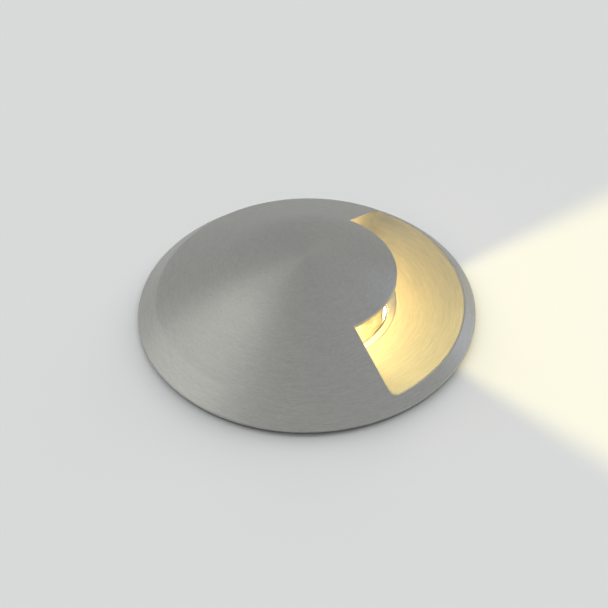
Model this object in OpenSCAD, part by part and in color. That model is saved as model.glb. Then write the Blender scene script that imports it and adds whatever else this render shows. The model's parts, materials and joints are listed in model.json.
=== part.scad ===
// In-ground marker light that shines to one side, with the sleeve that it drops into.
// Millimetres. +Z is up, +X is the lit side, and z = 0 is the ground under the sleeve's flange.

/* [Domed cover] */
// Diameter of the domed cover
cover_d = 110; // [108:1:124]
// Height of the crown above the ground
cover_h = 24.8; // [23.8:0.1:26]
// Slope of the conical flank, in degrees
flank_deg = 27.2; // [26:0.1:29]
// Slope of the bevel round the edge, in degrees
bevel_deg = 43.8; // [40:0.1:46]
// Width of the bevel, seen from above
bevel_w = 6.2; // [5:0.1:7]
// Height of the top of the upright edge
edge_top = 1.45; // [1.2:0.05:1.8]
// Height of the lip's underside above the ground
lip_gap = 0.55; // [0.4:0.05:0.8]
// Wall of the cover under its flank
cover_wall = 2.4; // [1.8:0.1:3]
// Thickness of the hood at its open edge
hood_edge_t = 1.4; // [1:0.1:2]
// Thickness of the hood in the middle
hood_mid_t = 2.8; // [2.2:0.1:3.4]
// Width of the lip that reaches down to the ground
lip_w = 4; // [3.6:0.1:5]
// Height of the recess that covers the sleeve's flange
recess_z = 1.8; // [1.7:0.1:2.2]
// Pockets between the ribs under the closed side
cover_pockets = 6; // [3:1:9]
// Thickness of the ribs between those pockets, and of their end walls
cover_rib_t = 2.2; // [1.6:0.1:3]
// Thickness of the inner wall round the light well
well_wall = 2.2; // [1.6:0.1:3]

/* [Window] */
// Angle of the window that lets the light out, in degrees
window_deg = 120; // [90:1:140]
// Height of the window's flat floor
floor_z = 4.7; // [4.5:0.1:5.2]
// Radius of the coves between the floor and the window's walls
cove_r = 2.4; // [1:0.1:3]

/* [Cover skirt and its ring] */
// Wall of the skirt that plugs over the lamp's collar
skirt_wall = 3.1; // [2.9:0.1:3.6]
// Thickness of the rubber ring that grips the collar
grip_ring_t = 1.9; // [1.6:0.1:2.1]
// Thickness of the rubber gasket under the lip
rim_gasket_t = 1.3; // [1.1:0.1:1.6]

/* [Lens] */
// Diameter of the glass
glass_d = 56; // [52:0.5:57]
// Thickness of the glass
glass_t = 4; // [3:0.5:5]
// Width of the bezel's lip over the glass
lip_over = 1; // [0.8:0.1:1.6]
// Thickness of the bezel's lip
bezel_lip_t = 0.8; // [0.6:0.1:1.2]
// Wall of the bezel's neck
bezel_wall = 1; // [0.8:0.1:1.2]
// Thickness of the bezel's flange
bezel_flange_t = 2.6; // [2.4:0.1:3]
// Screws that hold the bezel
bezel_screw_count = 6; // [3:1:8]
// Thickness of each gasket on the glass
glass_gasket_t = 0.5; // [0.4:0.1:0.8]

/* [Reflector and LED] */
// Facets round the reflector
facets = 24; // [20:1:36]
// Rows of facets from the foot to the rim
facet_rows = 4; // [3:1:6]
// Wall of the reflector
reflector_t = 0.8; // [0.6:0.1:1]
// Depth of the optical chamber below the glass seat
optic_depth = 14.9; // [14.5:0.1:16]
// Radius of the reflector's foot
foot_r = 6.5; // [6.2:0.1:7]
// Diameter of the LED's lit disc
led_d = 9; // [7:0.5:9]
// Thickness of the LED's ceramic base
led_t = 0.9; // [0.6:0.1:1.2]
// Diameter of the LED's round circuit board
led_board_d = 33; // [32:0.5:34]
// Thickness of the circuit boards
board_t = 1.6; // [1.2:0.1:2]
// Thickness of the thermal pad
pad_t = 0.3; // [0.2:0.1:0.6]
// Diameter of the LED's leads
lead_d = 1.6; // [1.2:0.1:1.8]

/* [Lamp housing] */
// Height of the collar inside the cover's skirt
collar_h = 6; // [5.8:0.1:7]
// Thickness of the flange that rests in the sleeve
seat_flange_t = 2; // [1.6:0.1:2.6]
// Thickness of the web that carries the LED
web_t = 3; // [2.5:0.1:4]
// Depth of the driver's chamber
driver_depth = 27; // [26:0.5:30]
// Wall of the driver's chamber
chamber_wall = 8.2; // [8:0.1:9]
// Cooling fins between two spring clips
fins_between = 7; // [4:1:7]
// Thickness of a fin
fin_t = 1.8; // [1.4:0.1:2.2]
// Thickness of the bottom cap
cap_t = 4.5; // [4.2:0.1:5.5]
// Screws that hold the bottom cap
cap_screw_count = 4; // [3:1:6]

/* [Cable gland] */
// Diameter of the cable that the gland takes
cable_d = 7.5; // [6:0.1:8]
// Diameter of the gland's thread
gland_d = 16; // [15.5:0.1:17]
// Width across the flats of the gland's hexagons
gland_af = 20; // [19.5:0.5:22]
// Height of the gland's fixed hexagon
gland_hex_h = 5; // [4:0.5:6]
// Height of the gland's clamping nut
gland_nut_h = 11; // [10:0.5:12]
// Height of the gland's rubber seal
gland_seal_h = 7; // [6:0.5:8]

/* [Spring clips] */
// Direction of the first clip, in degrees from the lit side
clip_deg = 30; // [20:1:40]
// Width of a clip's strip
clip_w = 10; // [8:0.5:11]
// Thickness of a clip's strip
clip_t = 0.8; // [0.6:0.1:1]
// Length of a clip's flat foot
clip_foot_h = 11; // [10:0.5:12]
// Length of a clip below its foot
clip_arm_h = 23; // [20:0.5:24]

/* [Sleeve] */
// Depth of the sleeve below the ground
sleeve_depth = 97; // [94:1:125]
// Wall of the sleeve
sleeve_wall = 2.5; // [2:0.1:2.8]
// Thickness of the sleeve's flange
sleeve_flange_t = 1.5; // [1.2:0.1:1.5]
// Width of the sleeve's flange outside its collar
sleeve_flange_w = 3; // [2.5:0.1:3.4]
// Length of the sleeve's wide collar
sleeve_collar_h = 14; // [13.5:0.5:18]
// Diameter of the conduit that plugs into the sleeve
conduit_d = 20; // [16:0.5:22]
// Height of the conduit's axis above the sleeve's foot
conduit_rise = 17; // [16:0.5:20]
// Depth of the conduit's socket
conduit_socket_l = 12; // [10:0.5:14]
// Diameter of the drain in the middle of the sleeve's foot
drain_d = 18; // [14:0.5:22]
// Small drain holes round the middle one
drain_count = 8; // [4:1:12]
// Upright ribs round the sleeve, a multiple of four
sleeve_rib_count = 12; // [8:4:16]

/* [Hidden] */
$fn = 96;

// Gaps between faces that meet, threads, rubber and loose fits
touch = 0.05;
rubber_gap = 0.04;
thread_gap = 0.05;
slide_gap = 0.1;
loose_gap = 0.3;
clear_gap = 0.5;
// Overrun of every cut past the face that it opens
over = 1;

// Cover, from its edge inwards
cover_r = cover_d / 2;
recess_r = cover_r - lip_w;
sleeve_flange_r = recess_r - clear_gap;
sleeve_r = sleeve_flange_r - sleeve_flange_w;
bore_r = sleeve_r - sleeve_wall;
skirt_gap = 0.6;
skirt_r = bore_r - skirt_gap;
skirt_in_r = skirt_r - skirt_wall;
collar_r = skirt_in_r - loose_gap;

// Lens, from its axis outwards
glass_r = glass_d / 2;
neck_in_r = glass_r + slide_gap;
neck_r = neck_in_r + bezel_wall;
lens_open_r = neck_in_r - lip_over - slide_gap;
bezel_edge = 1.9;
bezel_r = collar_r - bezel_edge;
bezel_seal_t = 1.5;
bezel_seal_in_r = neck_r + slide_gap;
bezel_seal_r = bezel_seal_in_r + bezel_seal_t / 2;
bezel_pitch_r = (bezel_seal_in_r + bezel_seal_t + bezel_r) / 2;

// Heights down the lens
lens_under_z = floor_z - bezel_lip_t;
glass_top_z = lens_under_z - glass_gasket_t;
glass_low_z = glass_top_z - glass_t;
seat_z = glass_low_z - glass_gasket_t;
bezel_top_z = recess_z - clear_gap;
bezel_low_z = bezel_top_z - bezel_flange_t;
deck_z = bezel_low_z - touch;

// Dome: a ball crown that runs on into a cone, then a bevel
ring_r = cover_r - bevel_w;
ring_z = edge_top + bevel_w * tan(bevel_deg);
crown_r = (ring_z + ring_r * tan(flank_deg) - cover_h) / (tan(flank_deg) - tan(flank_deg / 2));
crown_ball_r = crown_r / sin(flank_deg);
function flank_z(r) = ring_z + (ring_r - r) * tan(flank_deg);
crown_z = flank_z(crown_r);
well_r = neck_r + slide_gap;
hood_low_z = flank_z(well_r) - hood_edge_t;
hood_rise = cover_h - hood_mid_t - hood_low_z;
hood_ball_r = (well_r * well_r + hood_rise * hood_rise) / (2 * hood_rise);
pocket_in_r = well_r + well_wall;
pocket_out_r = skirt_in_r - clear_gap;
under_wall = cover_wall / cos(flank_deg);

// Skirt, its ring and the housing's collar
seat_flange_z = deck_z - collar_h;
skirt_low_z = seat_flange_z + clear_gap;
grip_groove_r = collar_r + grip_ring_t + 2 * rubber_gap;
grip_groove_h = grip_ring_t + loose_gap;
grip_z = (deck_z + skirt_low_z) / 2 - loose_gap;
rim_gasket_w = 2;
rim_gasket_r = (recess_r + cover_r) / 2;

// Housing and the sleeve's ledge
seat_flange_r = bore_r - loose_gap;
seat_low_z = seat_flange_z - seat_flange_t;
seat_gasket_t = 0.9;
ledge_z = seat_low_z - seat_gasket_t - slide_gap;
ledge_w = 2.5;
low_bore_r = bore_r - ledge_w;
low_sleeve_r = low_bore_r + sleeve_wall;
clip_room = 7;
barrel_r = low_bore_r - clip_room;
fin_gap = 2.5;
fin_r = low_bore_r - fin_gap;
fin_foot = 3;
chamber_r = barrel_r - chamber_wall;
optic_r = glass_r - 2 * lip_over;
web_z = seat_z - optic_depth;
chamber_top_z = web_z - web_t;
bottom_z = chamber_top_z - driver_depth;

// LED stack
board_z = web_z + pad_t;
led_face_z = board_z + board_t;
led_board_r = led_board_d / 2;
led_screw_in = 3;
led_screw_r = led_board_r - led_screw_in;
reflector_top_z = seat_z - clear_gap;
reflector_foot_z = led_face_z + touch;
reflector_foot_h = 1.6;
reflector_r = optic_r - slide_gap - reflector_t;
lead_r = lead_d / 2;
lead_gap = 4;
lead_bend_r = 2;
lead_rise = 0.6;
lead_pad_in = 1.5;
lead_in_r = led_board_r - lead_pad_in;
lead_out_r = lead_in_r + 2 * lead_bend_r;
lead_hole_r = lead_gap / 2 + lead_r + slide_gap;

// Driver
driver_edge = 1.3;
driver_r = chamber_r - driver_edge;
standoff_h = 4;
standoff_r = 2.6;
standoff_in = 4;
standoff_pitch_r = driver_r - standoff_in;
standoff_deg = 50;
standoffs = 3;
driver_z = chamber_top_z - standoff_h - touch;
parts_z = driver_z - board_t;

// Cap and gland
cap_z = bottom_z - touch;
cap_low_z = cap_z - cap_t;
cap_spigot_h = 2;
seal_t = 1.8;
cap_seal_out = 1.5;
cap_screw_in = 3.4;
cap_seal_r = chamber_r + cap_seal_out;
cap_pitch_r = barrel_r - cap_screw_in;
gland_r = gland_d / 2;
gland_washer_t = 0.8;
hex_z = cap_low_z - gland_washer_t - 2 * touch;
hex_low_z = hex_z - gland_hex_h;
cage_wall = 1.6;
cage_r = gland_r;
seal_r = cage_r - cage_wall - rubber_gap;
cage_low_z = hex_low_z - gland_seal_h;
nut_z = hex_low_z - clear_gap;
nut_low_z = nut_z - gland_nut_h;
hex_sides = 6;
gland_nut_lean = 1.4;

// Spring clips
clip_count = 3;
clip_pitch = 360 / clip_count;
pad_face_r = barrel_r + clear_gap;
clip_top_z = seat_low_z - clear_gap;
clip_foot_z = clip_top_z - clip_foot_h;
clip_low_z = clip_foot_z - clip_arm_h;
clip_foot_r = pad_face_r + touch;
clip_knee_r = sqrt(pow(low_bore_r - loose_gap, 2) - pow(clip_w / 2, 2));
clip_bulge = clip_knee_r - clip_t - clip_foot_r;
clip_steps = 16;
clip_pad_edge = 1;
clip_pad_w = clip_w + 2 * clip_pad_edge;

// Sleeve
foot_z = -sleeve_depth;
conduit_z = foot_z + conduit_rise;
conduit_r = conduit_d / 2 + 2 * slide_gap;
conduit_wall = 2.6;
conduit_stop = 1.6;
conduit_stop_l = 2;
conduit_in_x = sleeve_r - conduit_socket_l - conduit_stop_l;
drain_small_r = 3;
drain_pitch_r = (drain_d / 2 + low_bore_r) / 2;
grip_rings = 2;
grip_ring_h = 2.5;
grip_ring_z = -38;
grip_ring_pitch = 22;
sleeve_rib_t = 2;

// Driver's parts, and their places on the board as shares of its radius
capacitor_r = 5;
capacitor_l = 17;
capacitor_vent_t = 0.6;
capacitor_vent_shares = [0.8, 0.95];
inductor_r = 6.5;
inductor_core_r = 4.6;
inductor_l = 10;
inductor_rim_t = 1.2;
bridge_size = [8, 6.4, 3];
control_size = [6, 5, 1.6];
small_size = [3.2, 1.6, 0.8];
terminal_size = [15.6, 9, 10.5];
terminal_pitch = 5.08;
terminal_ways = 3;
terminal_way_w = 3.4;
capacitor_shares = [-0.46, 0.36];
inductor_shares = [0.3, 0.3];
terminal_shares = [0.04, -0.52];
bridge_shares = [-0.62, -0.16];
control_shares = [0.5, -0.08];
small_shares = [[-0.05, 0.1], [-0.2, -0.06], [0.12, -0.1], [0.66, 0.2], [-0.1, 0.62]];

// Screws: shank radius, head radius and head height
m3_r = 1.5;
m3_head_r = 2.75;
m3_head_h = 2.2;
m3 = [m3_r, m3_head_r, m3_head_h];
m25_r = 1.25;
m25_head_r = 2.1;
m25_head_h = 1.6;
m25 = [m25_r, m25_head_r, m25_head_h];
m2_r = 1;
m2_head_r = 1.8;
m2_head_h = 1.2;
m2 = [m2_r, m2_head_r, m2_head_h];
socket_share = 0.5;
socket_depth_share = 0.55;
slot_w = 0.6;

// Blanking plug
plug_wall = 2;
plug_bar_t = 3;
plug_x = sqrt(pow(sleeve_r, 2) - pow(conduit_r, 2)) - touch;
plug_l = plug_x - conduit_in_x - conduit_stop_l - touch;

// Ring between two radii and two heights
module ring(r_out, r_in, z_low, z_top) {
    translate([0, 0, z_low])
        difference() {
            cylinder(r = r_out, h = z_top - z_low);
            translate([0, 0, -over]) cylinder(r = r_in, h = z_top - z_low + 2 * over);
        }
}

// Disc between two heights
module disc(r, z_low, z_top) {
    translate([0, 0, z_low]) cylinder(r = r, h = z_top - z_low);
}

// Rubber ring with a round section, whose middle runs at radius r
module round_ring(r, t, z) {
    translate([0, 0, z]) rotate_extrude() translate([r, 0]) circle(r = t / 2);
}

// Copies of what follows, evenly round the axis at radius r
module around(count, r, start_deg) {
    for (i = [0:count - 1])
        rotate([0, 0, start_deg + i * 360 / count]) translate([r, 0, 0]) children();
}

// Screw with its head's underside at z = 0 and a hexagon socket in its head
module pan_screw(size, shank_l) {
    difference() {
        union() {
            cylinder(r = size[1], h = size[2]);
            translate([0, 0, -shank_l]) cylinder(r = size[0] - thread_gap, h = shank_l + touch);
        }
        translate([0, 0, size[2] * (1 - socket_depth_share)])
            cylinder(r = size[1] * socket_share, h = size[2], $fn = hex_sides);
    }
}

// Countersunk screw with its flat top at z = 0
module flush_screw(size, shank_l) {
    cone_h = size[1] - size[0];
    difference() {
        union() {
            translate([0, 0, -cone_h])
                cylinder(r1 = size[0] - thread_gap, r2 = size[1] - thread_gap, h = cone_h);
            translate([0, 0, -shank_l]) cylinder(r = size[0] - thread_gap, h = shank_l - cone_h);
        }
        translate([0, 0, -size[2] * socket_depth_share])
            cylinder(r = size[1] * socket_share, h = size[2], $fn = hex_sides);
    }
}

// Hole for a countersunk screw, with its flat top at z = 0
module flush_hole(size, depth) {
    cone_h = size[1] - size[0];
    translate([0, 0, -cone_h]) cylinder(r1 = size[0], r2 = size[1], h = cone_h);
    translate([0, 0, -depth]) cylinder(r = size[0] + slide_gap, h = depth);
    translate([0, 0, -touch]) cylinder(r = size[1], h = over);
}

// The dome's outside as a solid, down to height z_low
module dome(z_low) {
    rotate_extrude() {
        intersection() {
            translate([0, cover_h - crown_ball_r]) circle(r = crown_ball_r);
            translate([0, crown_z]) square([crown_r, cover_h]);
        }
        polygon([
            [0, z_low], [cover_r, z_low], [cover_r, edge_top], [ring_r, ring_z],
            [crown_r, crown_z], [0, crown_z]]);
    }
}

// The round room under the hood, open below
module light_well() {
    intersection() {
        disc(well_r, lip_gap - over, cover_h);
        translate([0, 0, cover_h - hood_mid_t - hood_ball_r]) sphere(r = hood_ball_r);
    }
}

// All the room on the window's side of its +Y wall, with the cove at the wall's foot
module beside_wall() {
    rotate([90, 0, 90 + window_deg / 2])
        linear_extrude(height = 2 * cover_d, center = true) {
            translate([-cover_d, floor_z]) square([cover_d - cove_r, cover_h]);
            translate([-cover_d, floor_z + cove_r]) square([cover_d, cover_h]);
            translate([-cove_r, floor_z + cove_r]) circle(r = cove_r);
        }
}

// The wedge that the window takes out of the dome
module window_cut() {
    intersection() {
        ring(cover_r + over, well_r - touch, floor_z, cover_h);
        beside_wall();
        mirror([0, 1, 0]) beside_wall();
    }
}

// Pockets under the closed side, with ribs between them
module cover_pocket_cuts() {
    end_deg = asin(cover_rib_t / pocket_in_r);
    rib_deg = asin(cover_rib_t / pocket_out_r);
    span_deg = 360 - window_deg - 2 * end_deg + rib_deg;
    pitch_deg = span_deg / cover_pockets;
    for (i = [0:cover_pockets - 1])
        rotate([0, 0, window_deg / 2 + end_deg + i * pitch_deg])
            rotate_extrude(angle = pitch_deg - rib_deg)
                polygon([
                    [pocket_in_r, recess_z - over],
                    [pocket_out_r, recess_z - over],
                    [pocket_out_r, flank_z(pocket_out_r) - under_wall],
                    [pocket_in_r, flank_z(pocket_in_r) - under_wall]]);
}

module top_cover() {
    color("#9c9b97")
    difference() {
        union() {
            difference() {
                dome(lip_gap);
                disc(recess_r, lip_gap - over, recess_z);
                cover_pocket_cuts();
                window_cut();
            }
            ring(skirt_r, skirt_in_r, skirt_low_z, recess_z + touch);
        }
        light_well();
        ring(grip_groove_r, skirt_in_r - over, grip_z - grip_groove_h / 2, grip_z + grip_groove_h / 2);
        ring(rim_gasket_r + rim_gasket_w / 2 + touch, rim_gasket_r - rim_gasket_w / 2 - touch,
            lip_gap - over, touch + rim_gasket_t);
    }
}

module rim_gasket() {
    color("#1c1c1c")
    ring(rim_gasket_r + rim_gasket_w / 2, rim_gasket_r - rim_gasket_w / 2, touch, rim_gasket_t);
}

module cover_grip_ring() {
    color("#202020")
    round_ring(collar_r + rubber_gap + grip_ring_t / 2, grip_ring_t, grip_z);
}

module lens_bezel() {
    color("#c9c8c2")
    difference() {
        union() {
            disc(neck_r, bezel_low_z, floor_z);
            disc(bezel_r, bezel_low_z, bezel_top_z);
        }
        disc(neck_in_r, bezel_low_z - over, lens_under_z);
        disc(lens_open_r, lens_under_z - over, floor_z + over);
        around(bezel_screw_count, bezel_pitch_r, clip_deg)
            translate([0, 0, bezel_top_z]) flush_hole(m25, bezel_flange_t + over);
    }
}

module bezel_screws() {
    color("#b8b8b8")
    around(bezel_screw_count, bezel_pitch_r, clip_deg)
        translate([0, 0, bezel_top_z - touch]) flush_screw(m25, collar_h + seat_flange_t / 2);
}

module bezel_seal() {
    color("#202020")
    round_ring(bezel_seal_r, bezel_seal_t, deck_z - bezel_seal_t / 2);
}

module lens_gasket() {
    color("#e4e2da")
    ring(glass_r - touch, lens_open_r + slide_gap, glass_top_z + touch / 2, lens_under_z - touch / 2);
}

module glass_lens() {
    color("#dfe8e4", 0.4)
    disc(glass_r, glass_low_z, glass_top_z);
}

module glass_seat_gasket() {
    color("#e4e2da")
    ring(glass_r - touch, optic_r + slide_gap, seat_z + touch / 2, glass_low_z - touch / 2);
}

// Reflector: flat facets on a bowl whose radius squared grows evenly with height, so its
// section is a parabola. Rings of points run up the inside and down the outside.
reflector_bowl_z = reflector_foot_z + reflector_foot_h;
reflector_bowl_h = reflector_top_z - reflector_bowl_z;
reflector_grow = (pow(reflector_r, 2) - pow(foot_r, 2)) / reflector_bowl_h;
function bowl_in(row) =
    let(h = reflector_bowl_h * row / facet_rows)
    [sqrt(pow(foot_r, 2) + reflector_grow * h), reflector_bowl_z + h];
function bowl_out(row) =
    let(p = bowl_in(row), lean = reflector_grow / (2 * p[0]), long = sqrt(1 + lean * lean))
    p + reflector_t * [1, -lean] / long;

module reflector() {
    foot_out_r = foot_r + reflector_t;
    profile = [
        [foot_r, reflector_foot_z],
        for (row = [0:facet_rows]) bowl_in(row),
        [reflector_r + reflector_t, reflector_top_z],
        for (row = [facet_rows - 1:-1:1]) bowl_out(row),
        [foot_out_r, reflector_bowl_z - reflector_t],
        [foot_out_r, reflector_foot_z]];
    count = len(profile);
    points = [
        for (p = profile)
            for (i = [0:facets - 1])
                [p[0] * cos(360 * i / facets), p[0] * sin(360 * i / facets), p[1]]];
    faces = [
        for (row = [0:count - 1])
            for (i = [0:facets - 1])
                [
                    row * facets + i,
                    row * facets + (i + 1) % facets,
                    (row + 1) % count * facets + (i + 1) % facets,
                    (row + 1) % count * facets + i]];
    color("#dcdcd8") polyhedron(points = points, faces = faces, convexity = 4);
}

module led_chip() {
    base_z = led_face_z + touch;
    color("#e8d27a")
    union() {
        disc(foot_r - 2 * slide_gap, base_z, base_z + led_t / 2);
        disc(led_d / 2, base_z + led_t / 4, base_z + led_t);
    }
}

module led_board() {
    color("#e9e9e4")
    difference() {
        disc(led_board_r, board_z + touch / 2, led_face_z);
        around(2, led_screw_r, 90)
            disc(m25[0] + slide_gap, board_z - over, led_face_z + over);
    }
}

module led_screws() {
    color("#b8b8b8")
    around(2, led_screw_r, 90)
        translate([0, 0, led_face_z + touch]) pan_screw(m25, board_t + web_t);
}

module thermal_pad() {
    color("#8f96a3")
    difference() {
        disc(led_board_r - clear_gap, web_z + touch / 2, board_z);
        around(2, led_screw_r, 90) disc(m25[0] + slide_gap, web_z - over, board_z + over);
    }
}

// One lead: up from the board, over a half turn and down through the web
module led_lead(y) {
    bend_z = led_face_z + touch + lead_rise;
    translate([0, y, 0]) {
        translate([lead_in_r, 0, led_face_z + touch]) cylinder(r = lead_r, h = lead_rise);
        translate([lead_in_r + lead_bend_r, 0, bend_z])
            rotate([90, 0, 0])
                rotate_extrude(angle = 180) translate([lead_bend_r, 0]) circle(r = lead_r);
        translate([lead_out_r, 0, driver_z + touch]) cylinder(r = lead_r, h = bend_z - driver_z - touch);
    }
}

module led_lead_red() {
    color("#b02a22") led_lead(lead_gap / 2);
}

module led_lead_black() {
    color("#222222") led_lead(-lead_gap / 2);
}

// The housing before it is bored: collar, seats, barrel, fins and pads for the clips
module housing_outside() {
    low_z = min(seat_z, deck_z);
    disc(collar_r, seat_low_z, low_z);
    disc(glass_r, low_z - over, seat_z);
    ring(collar_r, neck_in_r, low_z - over, deck_z);
    disc(seat_flange_r, seat_low_z, seat_flange_z);
    disc(barrel_r, bottom_z, seat_low_z + touch);
    for (k = [0:clip_count - 1])
        for (j = [1:fins_between])
            rotate([0, 0, clip_deg + k * clip_pitch + j * clip_pitch / (fins_between + 1)])
                translate([barrel_r - fin_foot, -fin_t / 2, bottom_z + fin_foot])
                    cube([fin_r - barrel_r + fin_foot, fin_t, seat_low_z + touch - bottom_z - fin_foot]);
    around(clip_count, 0, clip_deg)
        translate([barrel_r - fin_foot, -clip_pad_w / 2, clip_foot_z - over])
            cube([pad_face_r - barrel_r + fin_foot, clip_pad_w, clip_foot_h + over]);
}

module lamp_housing() {
    tap_l = collar_h + seat_flange_t / 2;
    color("#8d8f92")
    difference() {
        union() {
            difference() {
                housing_outside();
                disc(optic_r, web_z, floor_z);
                disc(chamber_r, bottom_z - over, chamber_top_z);
            }
            around(standoffs, standoff_pitch_r, standoff_deg)
                disc(standoff_r, chamber_top_z - standoff_h, chamber_top_z + touch);
        }
        ring(bezel_seal_r + bezel_seal_t / 2 + rubber_gap, bezel_seal_r - bezel_seal_t / 2 - rubber_gap,
            deck_z - bezel_seal_t - rubber_gap, deck_z + over);
        around(bezel_screw_count, bezel_pitch_r, clip_deg) disc(m25[0], deck_z - tap_l, deck_z + over);
        around(2, led_screw_r, 90) disc(m25[0], chamber_top_z - over, web_z + over);
        translate([lead_out_r, 0, 0]) disc(lead_hole_r, chamber_top_z - over, web_z + over);
        around(standoffs, standoff_pitch_r, standoff_deg)
            disc(m2[0], chamber_top_z - standoff_h - over, chamber_top_z + web_t / 2);
        around(cap_screw_count, cap_pitch_r, clip_deg + clip_pitch / 2)
            disc(m3[0], bottom_z - over, bottom_z + 3 * cap_t);
        around(clip_count, 0, clip_deg)
            translate([barrel_r - fin_foot, 0, clip_top_z - clip_foot_h / 2])
                rotate([0, 90, 0]) cylinder(r = m3[0], h = 2 * fin_foot);
    }
}

module driver_board() {
    color("#2f6b3c")
    difference() {
        disc(driver_r, parts_z, driver_z);
        around(standoffs, standoff_pitch_r, standoff_deg)
            disc(m2[0] + slide_gap, parts_z - over, driver_z + over);
    }
}

module driver_capacitor() {
    low_z = parts_z - touch - capacitor_l;
    color("#28324a")
    translate(driver_r * [capacitor_shares[0], capacitor_shares[1], 0]) {
        disc(capacitor_r, low_z, parts_z - touch);
        ring(capacitor_r * capacitor_vent_shares[1], capacitor_r * capacitor_vent_shares[0],
            low_z - capacitor_vent_t, low_z + touch);
    }
}

module driver_inductor() {
    top_z = parts_z - touch;
    low_z = top_z - inductor_l;
    color("#7a4a2a")
    translate(driver_r * [inductor_shares[0], inductor_shares[1], 0]) {
        disc(inductor_core_r, low_z, top_z);
        disc(inductor_r - inductor_rim_t / 2, low_z + inductor_rim_t / 2, top_z - inductor_rim_t / 2);
        disc(inductor_r, top_z - inductor_rim_t, top_z);
        disc(inductor_r, low_z, low_z + inductor_rim_t);
    }
}

// Flat-topped part hanging under the driver's board
module board_block(shares, size) {
    translate([
        driver_r * shares[0] - size[0] / 2, driver_r * shares[1] - size[1] / 2,
        parts_z - touch - size[2]]) cube(size);
}

module driver_chips() {
    color("#2a2a2c") {
        board_block(bridge_shares, bridge_size);
        board_block(control_shares, control_size);
        for (place = small_shares) board_block(place, small_size);
    }
}

// The screws' places on the terminal block, at height z
module terminal_places(z) {
    for (i = [0:terminal_ways - 1])
        translate([
            driver_r * terminal_shares[0] + (i - (terminal_ways - 1) / 2) * terminal_pitch,
            driver_r * terminal_shares[1], z]) children();
}

module terminal_block() {
    way_z = parts_z - touch - terminal_size[2] + terminal_way_w;
    color("#3d7d58")
    difference() {
        board_block(terminal_shares, terminal_size);
        terminal_places(way_z)
            translate([-terminal_way_w / 2, -terminal_size[1] / 2 - over, 0])
                cube([terminal_way_w, terminal_size[1] / 2 + over, terminal_way_w]);
        terminal_places(parts_z - touch - terminal_size[2] - over)
            cylinder(r = m25[1], h = m25[2] + over);
    }
}

module terminal_screws() {
    color("#c4c4c0")
    terminal_places(parts_z - touch - terminal_size[2])
        difference() {
            cylinder(r = m25[1] - thread_gap, h = m25[2] - touch);
            translate([-m25[1], -slot_w / 2, -over]) cube([2 * m25[1], slot_w, over + m25[2] / 2]);
        }
}

module driver_screws() {
    color("#b8b8b8")
    around(standoffs, standoff_pitch_r, standoff_deg)
        translate([0, 0, parts_z - touch]) mirror([0, 0, 1]) pan_screw(m2, board_t + standoff_h);
}

module bottom_cap() {
    head_h = m3[2] + loose_gap;
    color("#85878a")
    difference() {
        union() {
            disc(barrel_r, cap_low_z, cap_z);
            disc(chamber_r - slide_gap, cap_low_z, cap_z + cap_spigot_h);
        }
        disc(chamber_r - 3 * cap_spigot_h, cap_z, cap_z + cap_spigot_h + over);
        ring(cap_seal_r + seal_t / 2 + rubber_gap, cap_seal_r - seal_t / 2 - rubber_gap,
            cap_z - seal_t + rubber_gap, cap_z + over);
        disc(gland_r, cap_low_z - over, cap_z + over);
        around(cap_screw_count, cap_pitch_r, clip_deg + clip_pitch / 2) {
            disc(m3[0] + slide_gap, cap_low_z - over, cap_z + over);
            disc(m3[1] + slide_gap, cap_low_z - over, cap_low_z + head_h);
        }
    }
}

module bottom_seal() {
    color("#202020")
    round_ring(cap_seal_r, seal_t - 2 * rubber_gap, cap_z - seal_t / 2 + rubber_gap);
}

module bottom_screws() {
    color("#b8b8b8")
    around(cap_screw_count, cap_pitch_r, clip_deg + clip_pitch / 2)
        translate([0, 0, cap_low_z + m3[2] + loose_gap - touch])
            mirror([0, 0, 1]) pan_screw(m3, 2 * cap_t + loose_gap);
}

module gland_washer() {
    color("#202020")
    ring(gland_af / 2 - clear_gap, gland_r + touch, hex_z + touch, cap_low_z - touch);
}

module gland_body() {
    color("#2b2c2e")
    difference() {
        union() {
            disc(gland_r - thread_gap, hex_z - touch, cap_z + cap_spigot_h);
            translate([0, 0, hex_low_z])
                cylinder(d = gland_af / cos(180 / hex_sides), h = gland_hex_h, $fn = hex_sides);
            disc(cage_r - thread_gap, cage_low_z, hex_low_z + touch);
        }
        disc(cable_d / 2 + 2 * slide_gap, cage_low_z - over, cap_z + cap_spigot_h + over);
        disc(cage_r - cage_wall, cage_low_z - over, hex_low_z);
    }
}

module gland_seal() {
    color("#3a3a3a")
    ring(seal_r, cable_d / 2, cage_low_z, hex_low_z - touch);
}

module gland_nut() {
    dome_h = gland_nut_h / 3;
    color("#2b2c2e")
    difference() {
        intersection() {
            translate([0, 0, nut_low_z])
                cylinder(d = gland_af / cos(180 / hex_sides), h = gland_nut_h, $fn = hex_sides);
            union() {
                disc(gland_af, nut_low_z + dome_h - touch, nut_z);
                translate([0, 0, nut_low_z])
                    cylinder(r1 = gland_r, r2 = gland_r + dome_h * gland_nut_lean, h = dome_h);
            }
        }
        disc(cage_r, cage_low_z - touch, nut_z + over);
        disc(cable_d / 2 + clear_gap, nut_low_z - over, cage_low_z);
    }
}

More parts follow.
